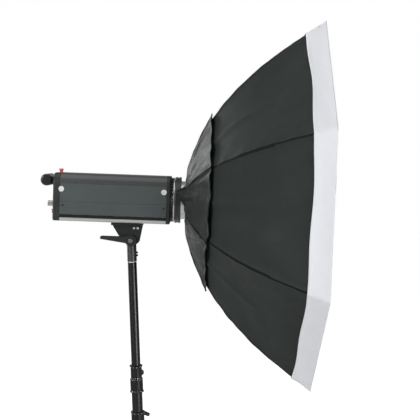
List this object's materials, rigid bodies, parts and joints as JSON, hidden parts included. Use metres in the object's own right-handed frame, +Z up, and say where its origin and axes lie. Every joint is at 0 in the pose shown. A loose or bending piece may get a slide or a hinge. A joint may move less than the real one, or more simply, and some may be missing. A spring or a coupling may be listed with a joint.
{
  "type": "studio softbox",
  "caption": "Octagonal fabric softbox on a speed ring, fitted to a mains flash head with a tilting bracket on a telescopic light stand with folding legs.",
  "frame": {"origin": "point on the floor under the column's axis, with the legs fully spread", "axes": "+Z up along the column, +X the way the lamp and softbox point, +Y to the lamp's left"},
  "size_m": [0.8023, 0.955, 1.8576],
  "materials": {
    "tube_black": "satin black powder coat",
    "casting_black": "moulded black, fine grain",
    "knob_black": "moulded black",
    "foot_rubber": "matt black",
    "spigot_steel": "turned",
    "shoulder_white": "white",
    "socket_grey": "satin dark grey",
    "screw_black": "blackened",
    "bracket_black": "satin black",
    "screw_chrome": "bright",
    "cover_grey": "satin dark grey",
    "panel_teal": "satin dark teal grey",
    "trim_black": "black",
    "pan_silver": "brushed light grey",
    "can_aluminium": "sleeved cans",
    "cap_black": "black, fine grain",
    "window_dark": "dark tinted",
    "button_grey": "grey",
    "knob_silver": "turned, knurled",
    "switch_red": "red",
    "inlet_black": "black",
    "sensor_red": "translucent red",
    "grip_black": "black, soft touch",
    "flange_steel": "bright",
    "dome_glass": "frosted",
    "tube_glass": "clear quartz",
    "bulb_glass": "frosted",
    "ring_black": "satin black",
    "hub_aluminium": "turned",
    "rib_steel": "spring steel",
    "fabric_black": "black coated nylon",
    "fabric_white": "white nylon",
    "fabric_baffle": "thin white nylon"
  },
  "bodies": {
    "stand_base": {"lower_tube": "tube_black", "base_casting": "casting_black", "lower_clamp": "casting_black"},
    "lower_knob": {"lower_clamp_knob": "knob_black"},
    "middle_section": {"middle_tube": "tube_black", "upper_clamp": "casting_black"},
    "upper_knob": {"upper_clamp_knob": "knob_black"},
    "upper_section": {"upper_tube": "tube_black", "spigot": "spigot_steel", "spigot_shoulder": "shoulder_white"},
    "swivel": {"swivel_socket": "socket_grey", "socket_screws": "screw_black"},
    "head": {"tilt_bracket": "bracket_black", "bracket_screws": "screw_chrome", "tilt_bolt": "rib_steel", "top_cover": "cover_grey", "side_panels": "panel_teal", "trim_strips": "trim_black", "bottom_pan": "pan_silver", "side_discs": "screw_chrome", "case_screws": "screw_black", "capacitors": "can_aluminium", "rear_cap": "cap_black", "display_window": "window_dark", "sync_jack": "knob_silver", "mains_inlet": "inlet_black", "slave_sensor": "sensor_red", "handle": "grip_black", "front_cap": "cap_black", "vent_ring": "cap_black", "bayonet_flange": "flange_steel", "glass_dome": "dome_glass", "flash_tube": "tube_glass", "modelling_lamp": "bulb_glass"},
    "tilt_lever": {"tilt_lever": "knob_black"},
    "insert": {"bayonet_insert": "hub_aluminium"},
    "softbox": {"speed_ring": "ring_black", "rib_hub": "hub_aluminium", "ribs": "rib_steel", "shell_panels": "fabric_black", "rear_skirt": "fabric_black", "inner_baffle": "fabric_baffle", "front_diffuser": "fabric_white"},
    "release_lever": {"release_lever": "knob_black"},
    "power_dial": {"power_dial": "knob_silver"},
    "button_1": {"button_1": "button_grey"},
    "button_2": {"button_2": "button_grey"},
    "power_switch": {"power_switch": "switch_red"},
    "leg_collar": {"leg_collar": "casting_black"},
    "leg_collar_knob": {"leg_collar_knob": "knob_black"},
    "leg_1": {"leg_1": "tube_black", "foot_1": "foot_rubber"},
    "brace_1": {"brace_1": "tube_black"},
    "leg_2": {"leg_2": "tube_black", "foot_2": "foot_rubber"},
    "brace_2": {"brace_2": "tube_black"},
    "leg_3": {"leg_3": "tube_black", "foot_3": "foot_rubber"},
    "brace_3": {"brace_3": "tube_black"}
  },
  "joints": [
    {"name": "lower_clamp_knob_spin", "type": "hinge", "parent": "stand_base", "child": "lower_knob", "pos_m": [0, 0, 0.819], "axis": [0.8002, 0.3731, -0.4695], "continuous": true},
    {"name": "middle_section_slide", "type": "slide", "parent": "stand_base", "child": "middle_section", "axis": [0, 0, 1], "range_m": [-0.055, 0.4]},
    {"name": "upper_clamp_knob_spin", "type": "hinge", "parent": "middle_section", "child": "upper_knob", "pos_m": [0, 0, 0.919], "axis": [0.342, 0.9397, 0], "continuous": true},
    {"name": "upper_section_slide", "type": "slide", "parent": "middle_section", "child": "upper_section", "axis": [0, 0, 1], "range_m": [-0.275, 0.22]},
    {"name": "head_swivel", "type": "hinge", "parent": "upper_section", "child": "swivel", "pos_m": [0, 0, 1.24], "axis": [0, 0, 1], "continuous": true},
    {"name": "head_tilt", "type": "hinge", "parent": "swivel", "child": "head", "pos_m": [0, 0, 1.3], "axis": [0, 1, 0], "range_deg": [-60, 35]},
    {"name": "tilt_lever_turn", "type": "hinge", "parent": "head", "child": "tilt_lever", "pos_m": [0, 0, 1.3], "axis": [0, 1, 0], "range_deg": [-75, 0]},
    {"name": "bayonet_twist", "type": "hinge", "parent": "head", "child": "insert", "pos_m": [0.12754, 0, 1.40657], "axis": [0.9977, 0, -0.068], "range_deg": [0, 36]},
    {"name": "softbox_spin", "type": "hinge", "parent": "insert", "child": "softbox", "pos_m": [0.13353, 0, 1.40616], "axis": [0.9977, 0, -0.068], "continuous": true},
    {"name": "release_lever_slide", "type": "slide", "parent": "head", "child": "release_lever", "axis": [0.068, 0, 0.9977], "range_m": [0, 0.008], "stiffness_N_per_m": 150, "springref_m": -0.003},
    {"name": "power_dial_turn", "type": "hinge", "parent": "head", "child": "power_dial", "pos_m": [-0.20897, -0.042, 1.41047], "axis": [-0.9977, 0, 0.068], "range_deg": [-135, 135]},
    {"name": "button_1_press", "type": "slide", "parent": "head", "child": "button_1", "axis": [0.9977, 0, -0.068], "range_m": [0, 0.0012], "stiffness_N_per_m": 400, "springref_m": -0.0005},
    {"name": "button_2_press", "type": "slide", "parent": "head", "child": "button_2", "axis": [0.9977, 0, -0.068], "range_m": [0, 0.0012], "stiffness_N_per_m": 400, "springref_m": -0.0005},
    {"name": "power_switch_rock", "type": "hinge", "parent": "head", "child": "power_switch", "pos_m": [-0.20375, -0.044, 1.39007], "axis": [0, 1, 0], "range_deg": [0, 12]},
    {"name": "leg_collar_slide", "type": "slide", "parent": "stand_base", "child": "leg_collar", "axis": [0, 0, 1], "range_m": [0, 0.14946]},
    {"name": "leg_collar_knob_spin", "type": "hinge", "parent": "leg_collar", "child": "leg_collar_knob", "pos_m": [0, 0, 0.48976], "axis": [0.5, 0.866, 0], "continuous": true},
    {"name": "leg_1_fold", "type": "hinge", "parent": "leg_collar", "child": "leg_1", "pos_m": [0.034, 0, 0.48976], "axis": [0, 1, 0], "range_deg": [0, 39.1]},
    {"name": "brace_1_fold", "type": "hinge", "parent": "leg_1", "child": "brace_1", "pos_m": [0.21785, 0, 0.30591], "axis": [0, -1, 0], "range_deg": [0, 78.2]},
    {"name": "leg_2_fold", "type": "hinge", "parent": "leg_collar", "child": "leg_2", "pos_m": [-0.017, 0.02944, 0.48976], "axis": [-0.866, -0.5, 0], "range_deg": [0, 39.1]},
    {"name": "brace_2_fold", "type": "hinge", "parent": "leg_2", "child": "brace_2", "pos_m": [-0.10892, 0.18866, 0.30591], "axis": [0.866, 0.5, 0], "range_deg": [0, 78.2]},
    {"name": "leg_3_fold", "type": "hinge", "parent": "leg_collar", "child": "leg_3", "pos_m": [-0.017, -0.02944, 0.48976], "axis": [0.866, -0.5, 0], "range_deg": [0, 39.1]},
    {"name": "brace_3_fold", "type": "hinge", "parent": "leg_3", "child": "brace_3", "pos_m": [-0.10892, -0.18866, 0.30591], "axis": [-0.866, 0.5, 0], "range_deg": [0, 78.2]}
  ],
  "couplings": [
    {"joint": "leg_1_fold", "follows": "leg_collar_slide", "rad_per_m": 4.5544},
    {"joint": "brace_1_fold", "follows": "leg_collar_slide", "rad_per_m": 9.1088},
    {"joint": "leg_2_fold", "follows": "leg_collar_slide", "rad_per_m": 4.5544},
    {"joint": "brace_2_fold", "follows": "leg_collar_slide", "rad_per_m": 9.1088},
    {"joint": "leg_3_fold", "follows": "leg_collar_slide", "rad_per_m": 4.5544},
    {"joint": "brace_3_fold", "follows": "leg_collar_slide", "rad_per_m": 9.1088}
  ]
}
